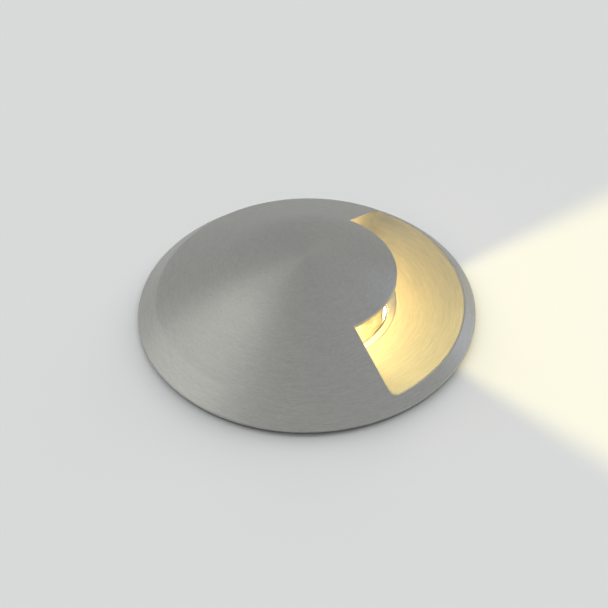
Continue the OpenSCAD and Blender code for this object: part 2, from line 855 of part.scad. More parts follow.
// Spring clip: a flat foot on the housing, then a bow out to the sleeve's wall and back
bow_deg = 150;
bow_lean = 0.85;
bow_ease = 1.25;
module spring_clip(number) {
    bow = [
        for (i = [0:clip_steps])
            [
                clip_foot_r + clip_bulge * pow(sin(bow_deg * pow(i / clip_steps, bow_lean)), bow_ease),
                clip_foot_z - clip_arm_h * i / clip_steps]];
    inside = concat([[clip_foot_r, clip_top_z]], bow);
    outline = concat(inside, [for (i = [len(inside) - 1:-1:0]) inside[i] + [clip_t, 0]]);
    color("#c2c2be")
    rotate([0, 0, clip_deg + (number - 1) * clip_pitch])
        difference() {
            rotate([90, 0, 0]) linear_extrude(height = clip_w, center = true) polygon(outline);
            translate([clip_foot_r - over, 0, clip_top_z - clip_foot_h / 2])
                rotate([0, 90, 0]) cylinder(r = m3[0] + slide_gap, h = clip_t + 2 * over);
        }
}

module clip_screws() {
    color("#b8b8b8")
    around(clip_count, 0, clip_deg)
        translate([clip_foot_r + clip_t + touch, 0, clip_top_z - clip_foot_h / 2])
            rotate([0, 90, 0]) pan_screw(m3, clip_t + fin_foot);
}

module seat_gasket() {
    color("#202020")
    ring(bore_r - loose_gap, low_bore_r + loose_gap, ledge_z + touch, ledge_z + seat_gasket_t);
}

// Tube through the sleeve's wall towards +X, open outside
module conduit_socket_solid() {
    intersection() {
        translate([conduit_in_x, 0, conduit_z])
            rotate([0, 90, 0]) cylinder(r = conduit_r + conduit_wall, h = sleeve_r);
        disc(sleeve_r, foot_z, 0);
    }
}

module conduit_socket_bore() {
    translate([conduit_in_x + conduit_stop_l, 0, conduit_z])
        rotate([0, 90, 0]) cylinder(r = conduit_r, h = sleeve_r);
    translate([conduit_in_x - over, 0, conduit_z])
        rotate([0, 90, 0]) cylinder(r = conduit_r - conduit_stop, h = sleeve_r);
}

module mounting_sleeve() {
    color("#34363a")
    difference() {
        union() {
            difference() {
                union() {
                    disc(sleeve_flange_r, 0, sleeve_flange_t);
                    disc(sleeve_r, -sleeve_collar_h, touch);
                    disc(low_sleeve_r, foot_z, touch - sleeve_collar_h);
                    for (i = [0:grip_rings - 1])
                        disc(sleeve_r, grip_ring_z - i * grip_ring_pitch - grip_ring_h,
                            grip_ring_z - i * grip_ring_pitch);
                    around(sleeve_rib_count, 0, 180 / sleeve_rib_count)
                        translate([low_bore_r + sleeve_wall / 2, -sleeve_rib_t / 2, foot_z])
                            cube([
                                sleeve_r - low_bore_r - sleeve_wall / 2 - slide_gap, sleeve_rib_t,
                                sleeve_depth - sleeve_collar_h + touch]);
                }
                disc(bore_r, ledge_z, sleeve_flange_t + over);
                disc(low_bore_r, foot_z + sleeve_wall, ledge_z + touch);
            }
            conduit_socket_solid();
            rotate([0, 0, 180]) conduit_socket_solid();
        }
        conduit_socket_bore();
        rotate([0, 0, 180]) conduit_socket_bore();
        disc(drain_d / 2, foot_z - over, foot_z + sleeve_wall + over);
        around(drain_count, drain_pitch_r, 0)
            disc(drain_small_r, foot_z - over, foot_z + sleeve_wall + over);
    }
}

// Plug for the unused conduit socket: a cup with a bar across it to pull it by
module blanking_plug() {
    color("#46484c")
    translate([plug_x - plug_l, 0, conduit_z]) {
        rotate([0, 90, 0])
            difference() {
                cylinder(r = conduit_r - touch, h = plug_l);
                translate([0, 0, plug_wall]) cylinder(r = conduit_r - plug_wall, h = plug_l);
            }
        translate([plug_wall / 2, -plug_bar_t / 2, -conduit_r + plug_wall / 2])
            cube([plug_l - plug_wall, plug_bar_t, 2 * conduit_r - plug_wall]);
    }
}

top_cover();
rim_gasket();
cover_grip_ring();
lens_bezel();
bezel_screws();
bezel_seal();
lens_gasket();
glass_lens();
glass_seat_gasket();
reflector();
led_chip();
led_board();
led_screws();
thermal_pad();
led_lead_red();
led_lead_black();
lamp_housing();
driver_board();
driver_capacitor();
driver_inductor();
driver_chips();
terminal_block();
terminal_screws();
driver_screws();
bottom_cap();
bottom_seal();
bottom_screws();
gland_washer();
gland_body();
gland_seal();
gland_nut();
spring_clip(1);  // spring_clip_1
spring_clip(2);  // spring_clip_2
spring_clip(3);  // spring_clip_3
clip_screws();
seat_gasket();
mounting_sleeve();
blanking_plug();
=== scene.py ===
"""In-ground marker light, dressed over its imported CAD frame.

Lengths are in metres in the part's own frame: +Z is up, +X is the lit side, and z = 0 is the ground.
The domed cover and the spring clips are rebuilt here as fine surfaces. The other pieces are the part's own
solids.
"""
import json
import math

import bmesh
import bpy
import numpy as np
from mathutils import Matrix, Vector


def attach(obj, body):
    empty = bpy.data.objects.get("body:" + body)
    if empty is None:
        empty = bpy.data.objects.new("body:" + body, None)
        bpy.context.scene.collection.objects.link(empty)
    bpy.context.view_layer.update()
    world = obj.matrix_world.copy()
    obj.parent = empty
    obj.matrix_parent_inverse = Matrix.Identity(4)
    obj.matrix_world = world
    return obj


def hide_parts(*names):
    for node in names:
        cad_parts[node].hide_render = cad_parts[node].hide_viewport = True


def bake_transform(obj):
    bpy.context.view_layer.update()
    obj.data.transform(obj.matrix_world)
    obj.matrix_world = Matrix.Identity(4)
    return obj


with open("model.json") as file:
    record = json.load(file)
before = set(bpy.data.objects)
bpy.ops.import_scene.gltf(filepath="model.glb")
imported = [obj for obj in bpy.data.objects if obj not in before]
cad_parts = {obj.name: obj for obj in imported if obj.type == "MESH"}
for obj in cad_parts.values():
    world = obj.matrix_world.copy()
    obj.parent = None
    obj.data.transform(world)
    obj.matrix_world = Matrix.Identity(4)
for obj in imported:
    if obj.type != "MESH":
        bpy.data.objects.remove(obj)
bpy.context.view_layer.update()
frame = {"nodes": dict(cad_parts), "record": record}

scene = bpy.context.scene
MM = 0.001

# Camera, placed by the outlines of the cover in the photograph
PHOTO_SIDE_PIXELS = 608
FOCAL_PIXELS = 2011.6
CAMERA_ELEVATION = math.radians(42.98)
CAMERA_ROLL = math.radians(-0.94)
CAMERA_DISTANCE = 660 * MM
LOOK_AT = Vector((-0.87, 3.70, 0)) * MM
SENSOR_WIDTH_MM = 36
NEAREST, FARTHEST = 10 * MM, 10


def add_camera():
    """A camera that looks along +Y from above, rolled a little about its own line of sight."""
    data = bpy.data.cameras.new("photo_camera")
    data.sensor_width = SENSOR_WIDTH_MM
    data.lens = FOCAL_PIXELS * SENSOR_WIDTH_MM / PHOTO_SIDE_PIXELS
    data.clip_start, data.clip_end = NEAREST, FARTHEST
    camera = bpy.data.objects.new("photo_camera", data)
    scene.collection.objects.link(camera)
    back = Vector((0, -math.cos(CAMERA_ELEVATION), math.sin(CAMERA_ELEVATION)))
    right = Vector((1, 0, 0))
    up = back.cross(right)
    rolled_right = right * math.cos(CAMERA_ROLL) + up * math.sin(CAMERA_ROLL)
    rolled_up = up * math.cos(CAMERA_ROLL) - right * math.sin(CAMERA_ROLL)
    turn = Matrix((rolled_right, rolled_up, back)).transposed().to_4x4()
    camera.matrix_world = Matrix.Translation(LOOK_AT + back * CAMERA_DISTANCE) @ turn
    scene.camera = camera


add_camera()


# Noise lies mostly between these two values, so colours and roughness run from one to the other
NOISE_LOW, NOISE_HIGH = 0.3, 0.7
# Broad noise in a grained finish: its size as times the fine grain's, and its share
COARSE_TIMES, COARSE_SHARE = 12, 0.45
# Broad noise in a brushed finish: its scale as times the scratches', and its share
BROAD_SCALE, BROAD_SHARE = 0.3, 0.3
BRUSHED_VARY = 0.05


# Shader nodes
def linear(hex_colour):
    """An sRGB hex colour as linear red, green, blue and alpha, by the curve of the sRGB standard."""
    values = [int(hex_colour[i:i + 2], 16) / 255 for i in (1, 3, 5)]
    return [v / 12.92 if v <= 0.04045 else ((v + 0.055) / 1.055) ** 2.4 for v in values] + [1.0]


def add_node(tree, kind, settings=None, give=0, shades=(), **inputs):
    """Adds a node and gives back one of its outputs. settings are its own properties, and shades the colours
    that it runs through as noise goes from its low values to its high ones. An input is a value or a socket
    to link from, and its keyword is the socket's name with _ for a space, or n and its number."""
    node = tree.nodes.new(kind)
    for name, value in (settings or {}).items():
        setattr(node, name, value)
    for stop, (position, shade) in enumerate(zip((NOISE_LOW, NOISE_HIGH), shades)):
        node.color_ramp.elements[stop].position = position
        node.color_ramp.elements[stop].color = linear(shade)
    for name, value in inputs.items():
        numbered = name[0] == "n" and name[1:].isdigit()
        socket = node.inputs[int(name[1:]) if numbered else name.replace("_", " ")]
        if isinstance(value, bpy.types.NodeSocket):
            tree.links.new(value, socket)
        else:
            socket.default_value = value
    return node.outputs[give] if len(node.outputs) else None


def new_material(name):
    """An empty material and its node tree."""
    material = bpy.data.materials.new(name)
    material.use_nodes = True
    material.node_tree.nodes.clear()
    return material, material.node_tree


def mix_values(tree, first, second, share):
    """first and second mixed, with that share of second."""
    part = add_node(tree, "ShaderNodeMath", {"operation": "MULTIPLY"}, n0=first, n1=1 - share)
    return add_node(tree, "ShaderNodeMath", {"operation": "MULTIPLY_ADD"}, n0=second, n1=share, n2=part)


def finish_material(tree, **shader_inputs):
    """Ends a material with a shader that takes those inputs."""
    shader = add_node(tree, "ShaderNodeBsdfPrincipled", **shader_inputs)
    add_node(tree, "ShaderNodeOutputMaterial", Surface=shader)


def finish_by_noise(tree, value, low, high, roughness, vary, **shader_inputs):
    """Ends a material whose colour runs from low to high as the noise rises, and whose roughness runs from
    vary under its middle to vary over it."""
    colour = add_node(tree, "ShaderNodeValToRGB", shades=(low, high), Fac=value)
    rough = add_node(tree, "ShaderNodeMapRange", Value=value, n1=NOISE_LOW, n2=NOISE_HIGH,
                     n3=roughness - vary, n4=roughness + vary)
    finish_material(tree, Base_Color=colour, Roughness=rough, **shader_inputs)


def grained(name, low, high, grain_mm, bump_mm, roughness, metallic=0.0, vary=0.06):
    """A finish whose colour, roughness and height follow one noise. low and high are its darkest and lightest
    colours, grain_mm the size of its grain, bump_mm the grain's height and vary the change in roughness."""
    material, tree = new_material(name)
    place = add_node(tree, "ShaderNodeTexCoord", give="Object")
    fine = add_node(tree, "ShaderNodeTexNoise", Vector=place, Scale=1 / (grain_mm * MM), Detail=3.0,
                    Roughness=0.6)
    broad = add_node(tree, "ShaderNodeTexNoise", Vector=place, Scale=1 / (COARSE_TIMES * grain_mm * MM),
                     Detail=2.0, Roughness=0.6)
    both = mix_values(tree, fine, broad, COARSE_SHARE)
    bump = add_node(tree, "ShaderNodeBump", Height=fine, Distance=bump_mm * MM)
    finish_by_noise(tree, both, low, high, roughness, vary, Metallic=metallic, Normal=bump)
    return material


def brushed_rings(name, low, high, roughness, ring_mm, arc_deg, bump_mm, anisotropy):
    """Metal turned under a fine belt. Scratches run in short arcs round the axis: the noise is stretched
    along the ring, ring_mm wide and arc_deg long. The scratches throw light across themselves, so gloss is
    widest along the radius and draws fans out from the middle."""
    material, tree = new_material(name)
    place = add_node(tree, "ShaderNodeTexCoord", give="Object")
    flat = add_node(tree, "ShaderNodeVectorMath", {"operation": "MULTIPLY"}, n0=place, n1=(1, 1, 0))
    height = add_node(tree, "ShaderNodeSeparateXYZ", give="Z", Vector=place)
    radius = add_node(tree, "ShaderNodeVectorMath", {"operation": "LENGTH"}, give="Value", n0=flat)
    heading = add_node(tree, "ShaderNodeVectorMath", {"operation": "NORMALIZE"}, n0=flat)
    # The way round the axis goes through the noise as a circle, so no seam shows behind
    around = add_node(tree, "ShaderNodeVectorMath", {"operation": "SCALE"}, n0=heading,
                      Scale=1 / math.radians(arc_deg))
    across = add_node(tree, "ShaderNodeMath", {"operation": "SUBTRACT"}, n0=radius, n1=height)
    rings = add_node(tree, "ShaderNodeMath", {"operation": "MULTIPLY"}, n0=across, n1=1 / (ring_mm * MM))
    upright = add_node(tree, "ShaderNodeCombineXYZ", X=0.0, Y=0.0, Z=rings)
    scratch = add_node(tree, "ShaderNodeVectorMath", {"operation": "ADD"}, n0=around, n1=upright)
    fine = add_node(tree, "ShaderNodeTexNoise", Vector=scratch, Scale=1.0, Detail=3.0, Roughness=0.7)
    broad = add_node(tree, "ShaderNodeTexNoise", Vector=scratch, Scale=BROAD_SCALE, Detail=2.0)
    both = mix_values(tree, fine, broad, BROAD_SHARE)
    bump = add_node(tree, "ShaderNodeBump", Height=fine, Distance=bump_mm * MM)
    along_radius = add_node(tree, "ShaderNodeVectorTransform",
                            {"vector_type": "VECTOR", "convert_from": "OBJECT", "convert_to": "WORLD"},
                            Vector=heading)
    finish_by_noise(tree, both, low, high, roughness, BRUSHED_VARY, Metallic=1.0, Normal=bump,
                    Tangent=along_radius, Anisotropic=anisotropy)
    return material


def clear_glass():
    """Toughened clear glass: smooth, with a hint of green and of dust."""
    material, tree = new_material("toughened_clear_glass")
    place = add_node(tree, "ShaderNodeTexCoord", give="Object")
    dust = add_node(tree, "ShaderNodeTexNoise", Vector=place, Scale=1 / (3 * MM), Detail=3.0, Roughness=0.6)
    dusty_roughness = 0.04
    rough = add_node(tree, "ShaderNodeMapRange", Value=dust, n3=0.0, n4=dusty_roughness)
    bump = add_node(tree, "ShaderNodeBump", Height=dust, Distance=0.0005 * MM, Strength=0.3)
    finish_material(tree, Base_Color=linear("#F6FBF8"), Roughness=rough, Normal=bump, IOR=1.5,
                    Transmission_Weight=1.0)
    return material


def lit_phosphor(strength):
    """The LED's silicone disc with its phosphor, lit: an even warm white."""
    material, tree = new_material("lit_phosphor_silicone")
    place = add_node(tree, "ShaderNodeTexCoord", give="Object")
    grain = add_node(tree, "ShaderNodeTexNoise", Vector=place, Scale=1 / (0.4 * MM), Detail=3.0,
                     Roughness=0.6)
    colour = add_node(tree, "ShaderNodeValToRGB", shades=("#FFC25C", "#FFD485"), Fac=grain)
    bump = add_node(tree, "ShaderNodeBump", Height=grain, Distance=0.02 * MM, Strength=0.5)
    finish_material(tree, Base_Color=colour, Roughness=0.45, Normal=bump, Emission_Color=colour,
                    Emission_Strength=strength)
    return material


# Finishes by the record's material slot. A grained one gives its name, its darkest and lightest colours, its
# grain and that grain's height in millimetres, its roughness, its share of metal and its change in roughness.
# A brushed one gives its name, colours, roughness, the scratches' width and arc, their height, and how much
# they stretch the gloss. Scratches and fine grains are drawn coarser than the real ones, so that they show
FINISHES = {
    # Stainless steel brushed in rings: grey with a faint green-brown cast and bright fans
    "cover_steel": brushed_rings("ring_brushed_stainless_steel", "#BEBDB8", "#D8D8D4", 0.45, 0.28, 1.8,
                                 0.012, 0.62),
    # Turned aluminium with a satin cut: the pale ring round the glass
    "bezel_aluminium": brushed_rings("satin_turned_aluminium", "#D2CFC3", "#E2DFD4", 0.34, 0.2, 6,
                                     0.002, 0.4),
    # Sand-cast aluminium: dull grey with a coarse skin
    "housing_aluminium": grained("sand_cast_aluminium", "#6F7173", "#9C9EA0", 0.9, 0.03, 0.48, 1.0),
    # Bright-dipped spun aluminium: a clean mirror that is a little soft
    "reflector_aluminium": grained("bright_dipped_aluminium", "#E6E2D6", "#F4F1E8", 2.5, 0.001, 0.12,
                                   1.0, 0.03),
    # Cold-headed stainless screws: bright and smooth
    "screw_steel": grained("cold_headed_stainless_steel", "#B0B0AE", "#D2D2CF", 0.3, 0.004, 0.28, 1.0),
    # Rolled spring strip: bright with a slight mill grain
    "spring_steel": grained("rolled_spring_steel", "#A9A9A5", "#CBCBC7", 0.6, 0.003, 0.3, 1.0),
    # Moulded nitrile rubber: nearly black and dull
    "black_rubber": grained("moulded_nitrile_rubber", "#101011", "#1D1D1E", 0.25, 0.012, 0.72),
    # Moulded silicone rubber: off-white with a soft sheen
    "pale_silicone": grained("moulded_white_silicone", "#DEDACB", "#EFECE0", 0.4, 0.006, 0.55),
    # Toughened float glass: clear
    "clear_glass": clear_glass(),
    # Silicone over the LED's dies, lit
    "led_phosphor": lit_phosphor(5.2),
    # White solder mask on an aluminium board
    "white_board": grained("white_solder_mask", "#E3E3DC", "#F2F2EC", 0.5, 0.003, 0.4),
    # Green solder mask on a glass-fibre board
    "green_board": grained("green_solder_mask", "#1B5130", "#2E7446", 0.6, 0.004, 0.35),
    # Silicone filled with ceramic powder: chalky grey
    "pad_grey": grained("ceramic_filled_silicone", "#80868F", "#9BA2AC", 0.2, 0.01, 0.8),
    # Silicone wire insulation: dull red and black
    "red_insulation": grained("red_silicone_insulation", "#9C1F18", "#BF3226", 0.4, 0.004, 0.5),
    "black_insulation": grained("black_silicone_insulation", "#141414", "#262626", 0.4, 0.004, 0.5),
    # Shrunk vinyl sleeve of a capacitor: dark blue and glossy
    "blue_sleeve": grained("shrunk_vinyl_sleeve", "#1C2540", "#2C3A5C", 0.8, 0.004, 0.3),
    # Lacquered copper wire on its drum: brown and glossy
    "copper_winding": grained("lacquered_copper_wire", "#8A4A26", "#B4683A", 0.5, 0.02, 0.35, 0.8),
    # Moulded epoxy of the chips: charcoal and matte
    "chip_black": grained("moulded_epoxy", "#161617", "#262628", 0.15, 0.006, 0.6),
    # Moulded polyester of the terminals: green with a slight sheen
    "terminal_green": grained("moulded_polyester", "#2F6B47", "#46875F", 0.4, 0.006, 0.45),
    # Moulded nylon of the gland: black with a slight sheen
    "gland_nylon": grained("moulded_black_nylon", "#19191A", "#2A2A2C", 0.5, 0.008, 0.42),
    # Moulded polypropylene of the sleeve, with a grained skin
    "sleeve_plastic": grained("grained_polypropylene", "#232427", "#37393D", 0.45, 0.02, 0.5),
    # Moulded polyethylene of the plug: waxy grey
    "plug_plastic": grained("moulded_grey_polyethylene", "#3E4044", "#54565B", 0.5, 0.008, 0.45),
}

# Blasted stainless steel in the window: the same metal, but dull, so that it glows evenly under the lamp. Its
# colours are lighter and warmer than the cover's, a painted warm glow of the lamp
WINDOW_STEEL_PAINTED_GLOW = brushed_rings("blasted_steel_painted_glow", "#C8C3B4", "#DFDACB", 0.86, 0.4, 8, 0.006, 0.2)

# The part's solids: points this near are joined, and edges sharper than this angle stay sharp
SOLID_JOIN = 0.001 * MM
SOLID_SHARP_DEG = 22


def round_off(solid):
    """Joins the solid's loose triangles and shades it smooth but for its sharp edges."""
    for polygon in solid.data.polygons:
        polygon.use_smooth = True
    weld = solid.modifiers.new("join_triangles", "WELD")
    weld.merge_threshold = SOLID_JOIN
    split = solid.modifiers.new("keep_sharp_edges", "EDGE_SPLIT")
    split.split_angle = math.radians(SOLID_SHARP_DEG)


slot_of = {s["node"]: s["material_slot"] for s in frame["record"]["subparts"]}
for node_name, solid in frame["nodes"].items():
    solid.data.materials.clear()
    solid.data.materials.append(FINISHES[slot_of[node_name]])
    # The reflector keeps its flat facets
    if node_name != "reflector":
        round_off(solid)

# Sizes of the cover in millimetres, as in the part's source
COVER_R, COVER_H = 55, 24.8
EDGE_TOP, LIP_Z, RECESS_R, RECESS_Z = 1.45, 0.55, 51, 1.8
FLANK_DEG, BEVEL_DEG, BEVEL_W = 27.2, 43.8, 6.2
WALL_DEG, FLOOR_Z, COVE_R = 60, 4.7, 2.4
WELL_R, WELL_WALL, HOOD_EDGE_T, HOOD_MID_T, COVER_WALL = 29.2, 2.2, 1.4, 2.8, 2.4
SKIRT_R, SKIRT_IN_R, SKIRT_LOW_Z = 44.4, 41.3, -6.85
GRIP_GROOVE_R, GRIP_Z, GRIP_GROOVE_H = 42.98, -4.4, 2.2
GASKET_R, GASKET_W, GASKET_TOP_Z = 53, 2.1, 1.35
POCKET_OUT_R, RIB_T, HALF_POCKETS = 40.8, 2.2, 3
# Roundings that the source leaves out
CREASE, EASE, HOOD_LOW_EASE, EDGE_EASE, FLOOR_EASE = 0.5, 0.3, 0.2, 0.25, 0.12

FLANK_SLOPE = math.tan(math.radians(FLANK_DEG))
BEVEL_SLOPE = math.tan(math.radians(BEVEL_DEG))
RING_R = COVER_R - BEVEL_W
RING_Z = EDGE_TOP + BEVEL_W * BEVEL_SLOPE
CROWN_R = ((RING_Z + RING_R * FLANK_SLOPE - COVER_H)
           / (FLANK_SLOPE - math.tan(math.radians(FLANK_DEG / 2))))
CROWN_BALL_R = CROWN_R / math.sin(math.radians(FLANK_DEG))
HOOD_LOW_Z = RING_Z + (RING_R - WELL_R) * FLANK_SLOPE - HOOD_EDGE_T
HOOD_RISE = COVER_H - HOOD_MID_T - HOOD_LOW_Z
HOOD_BALL_R = (WELL_R ** 2 + HOOD_RISE ** 2) / (2 * HOOD_RISE)
WALL = math.radians(WALL_DEG)

# Points over the window's eased edge, down its wall, round its cove and round its floor
EDGE_POINTS, WALL_POINTS, COVE_POINTS, FLOOR_POINTS = 7, 4, 10, 40
# Points round the closed back, round the whole rim, and over the eases of the rim and the hood
BACK_POINTS, RIM_POINTS, EASE_POINTS = 90, 181, 6
CROWN_ROWS, UNDERSIDE_ROWS, POCKET_ROWS, POCKET_COLUMNS = 44, 24, 5, 10
# The back's columns close up towards the window by this power, and stop at this share of the way to it.
# The floor's columns start at this share of the way from its cove to its middle
BACK_POWER, BACK_LAST_SHARE, FLOOR_FIRST_SHARE = 1.3, 0.996, 0.03
# Gap between the crown's even rows and its eased rim
CROWN_GAP = 0.4
# Rows of the band round the well, as runs of first radius, last radius and count: close together over the
# crease and where the window's floor meets the bevel
BAND_RUNS = ((WELL_R, WELL_R + FLOOR_EASE, 2), (29.6, RING_R - 2 * CREASE, 40),
             (RING_R - CREASE, RING_R + CREASE, 9), (49.5, 51.2, 10), (51.3, 51.9, 7),
             (52.1, COVER_R - EDGE_EASE, 9))
# Angles of the hood's columns from the window's side to its middle, and of the closed side's from the back
HOOD_TURN = WALL * (1 - np.linspace(0.04, 1, 36))
SIDE_TURN = np.linspace(np.pi, WALL, 70)
# New pieces: points this near are joined, and edges sharper than this angle stay sharp
PIECE_JOIN = 0.002 * MM
PIECE_SHARP_DEG = 30


def dome_height(r):
    """Height of the dome at radius r: a ball crown, then a cone, then a bevel, with a short parabola where
    cone and bevel meet."""
    ball = COVER_H - CROWN_BALL_R + np.sqrt(np.maximum(CROWN_BALL_R ** 2 - r ** 2, 0))
    cone = RING_Z + (RING_R - r) * FLANK_SLOPE
    bend = np.clip(r - RING_R + CREASE, 0, 2 * CREASE)
    past = np.maximum(r - RING_R - CREASE, 0)
    return np.where(r < CROWN_R, ball, cone - (BEVEL_SLOPE - FLANK_SLOPE) * (bend ** 2 / (4 * CREASE) + past))


def hood_height(r):
    """Height of the hood's underside at radius r: a flat ball."""
    return COVER_H - HOOD_MID_T - HOOD_BALL_R + np.sqrt(HOOD_BALL_R ** 2 - r ** 2)


def polar(r, turn, z):
    """Points at radius r, angle turn and height z, whose shapes broadcast to one grid."""
    r, turn, z = np.broadcast_arrays(r, turn, z)
    return np.stack([r * np.cos(turn), r * np.sin(turn), z], axis=-1)


def steps(first, last, count):
    """Even steps from first to last."""
    return np.linspace(first, last, count)


def eased_wall(r):
    """Section through the window's wall at radius r, as columns of distance d into the window and height z.
    It runs over the eased top edge, down the wall, and round the cove onto the floor. Where the dome is
    lower than the cove's top, the section starts part of the way round the cove."""
    rise = np.maximum(dome_height(r) - FLOOR_Z, 0)
    straight = np.maximum(rise - COVE_R, 0)
    start = np.arcsin(1 - np.minimum(rise, COVE_R) / COVE_R)
    ease = EASE * np.clip(rise / (3 * EASE), 0, 1)
    length = straight + COVE_R * (np.pi / 2 - start)

    def down_the_cut(s):
        """Distance and height at way s down the wall and round the cove, with no ease."""
        turn = start + np.maximum(s - straight, 0) / COVE_R
        on_wall = s < straight
        d = np.where(on_wall, 0, COVE_R * (1 - np.cos(turn)))
        return d, np.where(on_wall, FLOOR_Z + rise - s, FLOOR_Z + COVE_R * (1 - np.sin(turn)))

    top_d, top_z = down_the_cut(np.zeros_like(r))
    low_d, low_z = down_the_cut(ease)
    t = steps(0, 1, EDGE_POINTS)[None, :]
    over_d = (1 - t) ** 2 * (top_d - ease) + 2 * t * (1 - t) * top_d + t ** 2 * low_d
    over_z = ((1 - t) ** 2 + 2 * t * (1 - t)) * top_z + t ** 2 * low_z
    cove_from = np.maximum(straight, ease)
    wall_share = steps(1 / WALL_POINTS, 1, WALL_POINTS)[None, :]
    cove_share = steps(1 / COVE_POINTS, 1, COVE_POINTS)[None, :]
    wall_d, wall_z = down_the_cut(ease + (cove_from - ease) * wall_share)
    cove_d, cove_z = down_the_cut(cove_from + (length - cove_from) * cove_share)
    d = np.concatenate([over_d, wall_d, cove_d], axis=1)
    z = np.minimum(np.concatenate([over_z, wall_z, cove_z], axis=1), dome_height(r))
    return d, z


def half_band():
    """The cover's top outside the well, from the back round to the lit side: closed flank, wall, floor.
    Gives also the angles of its inner row's closed part, which the crown joins."""
    r = np.concatenate([steps(*run) for run in BAND_RUNS])[:, None]
    d, wall_z = eased_wall(r)
    wall_turn = WALL - np.arcsin(d / r)
    back_share = (1 - steps(0, BACK_LAST_SHARE, BACK_POINTS)[None, :]) ** BACK_POWER
    closed = wall_turn[:, :1] + (np.pi - wall_turn[:, :1]) * back_share
    floor = wall_turn[:, -1:] * (1 - steps(FLOOR_FIRST_SHARE, 1, FLOOR_POINTS))[None, :]
    turn = np.concatenate([closed, wall_turn, floor], axis=1)
    top = dome_height(r)
    z = np.concatenate([
        top * np.ones_like(closed), wall_z, np.minimum(top, FLOOR_Z) * np.ones_like(floor)], axis=1)
    z[0, z[0] < FLOOR_Z + FLOOR_EASE / 2] -= FLOOR_EASE
    return polar(r, turn, z), turn[0, :BACK_POINTS + EDGE_POINTS]


def half_crown(closed_turn):
    """The crown from its middle to the well's radius. Towards the window its rim is eased as the window's
    wall is: the drop at distance away from the window is ease (1 - sqrt(away / ease)) squared."""
    turn = np.concatenate([closed_turn, HOOD_TURN])[None, :]
    rim = WELL_R - EASE * (1 - steps(0, 1, EDGE_POINTS)) ** 2
    r = np.concatenate([steps(0, WELL_R - EASE - CROWN_GAP, CROWN_ROWS), rim])[:, None]
    beside = r * np.sin(np.clip(turn - WALL, 0, np.pi / 2))
    away = np.hypot(WELL_R - r, beside)
    drop = EASE * np.maximum(1 - np.sqrt(away / EASE), 0) ** 2
    return polar(r, turn, dome_height(r) - drop)


def half_hood_edge():
    """The hood's upright edge and the ease under it, a parabola of way t that goes in by the ease times t
    squared, from a height over its end of the ease times (1 - t) squared."""
    turn = np.concatenate([[WALL], HOOD_TURN])[None, :]
    t = steps(0, 1, EASE_POINTS)
    r = np.concatenate([[WELL_R], WELL_R - HOOD_LOW_EASE * t ** 2])[:, None]
    low = hood_height(WELL_R - HOOD_LOW_EASE)
    z = np.concatenate([[dome_height(np.array(WELL_R)) - EASE], low + HOOD_LOW_EASE * (1 - t) ** 2])[:, None]
    return polar(r, turn, z)


def half_underside():
    """The hood's underside, a flat ball, from its eased edge in to the axis."""
    turn = np.concatenate([SIDE_TURN, HOOD_TURN])[None, :]
    r = steps(WELL_R - HOOD_LOW_EASE, 0, UNDERSIDE_ROWS)[:, None]
    return polar(r, turn, hood_height(r))


def half_well_wall():
    """The wall of the well round the closed side, down from the hood's underside."""
    in_r = WELL_R - HOOD_LOW_EASE
    r = np.array([in_r, WELL_R, WELL_R])[:, None]
    z = np.array([hood_height(in_r), HOOD_LOW_Z, RECESS_Z])[:, None]
    return polar(r, SIDE_TURN[None, :], z)


def half_plate():
    """Under the plate, between well and skirt: three pockets with ribs between them. A rib's edge and a
    pocket's edge share an angle or a radius, so the step between them stands upright."""
    end = RIB_T / (WELL_R + WELL_WALL)
    rib = RIB_T / POCKET_OUT_R
    pitch = (np.pi - WALL - end + rib / 2) / HALF_POCKETS
    turn, deep = [0, WALL], [0, 0]
    for i in range(HALF_POCKETS):
        start = WALL + end + i * pitch
        pocket = steps(start, start + pitch - rib, POCKET_COLUMNS)
        turn += [start, *pocket, pocket[-1]]
        deep += [0] + [1] * len(pocket) + [0]
    turn, deep = np.array(turn + [np.pi])[None, :], np.array(deep + [0])[None, :]
    pocket_r = steps(WELL_R + WELL_WALL, POCKET_OUT_R, POCKET_ROWS)
    r = np.concatenate([[WELL_R, pocket_r[0]], pocket_r, [POCKET_OUT_R, SKIRT_IN_R]])[:, None]
    inside = np.array([0, 0] + [1] * len(pocket_r) + [0, 0])[:, None]
    roof = dome_height(r) - COVER_WALL / math.cos(math.radians(FLANK_DEG))
    return polar(r, turn, np.where(deep * inside > 0, roof, RECESS_Z))


def half_well_foot():
    """The plate's inner edge along the window, from its floor down to its underside."""
    z = np.array([FLOOR_Z - FLOOR_EASE, RECESS_Z])[:, None]
    return polar(WELL_R, steps(WALL, 0, FLOOR_POINTS)[None, :], z)


